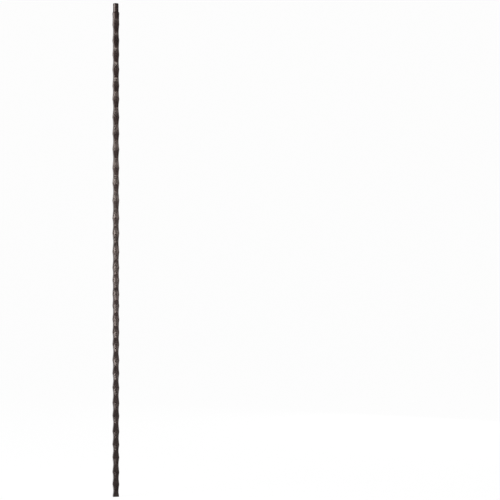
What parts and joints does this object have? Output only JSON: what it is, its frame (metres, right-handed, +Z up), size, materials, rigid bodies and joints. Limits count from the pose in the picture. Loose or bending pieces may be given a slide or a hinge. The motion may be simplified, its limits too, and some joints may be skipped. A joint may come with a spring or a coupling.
{
  "type": "iron stair baluster",
  "caption": "Hammered square iron bar for a stair balustrade, with dented sides, flattened corners, a plain sawn foot and a round pin on its top end.",
  "frame": {"origin": "centre of the sawn foot", "axes": "+Z up along the bar from the foot to the pin; -Y is the front side; X runs across the front"},
  "size_m": [0.0148, 0.0148, 1.1176],
  "materials": {
    "coated_iron": "satin dark bronze powder coat over hammered iron"
  },
  "bodies": {
    "root": {"baluster": "coated_iron"}
  },
  "joints": []
}
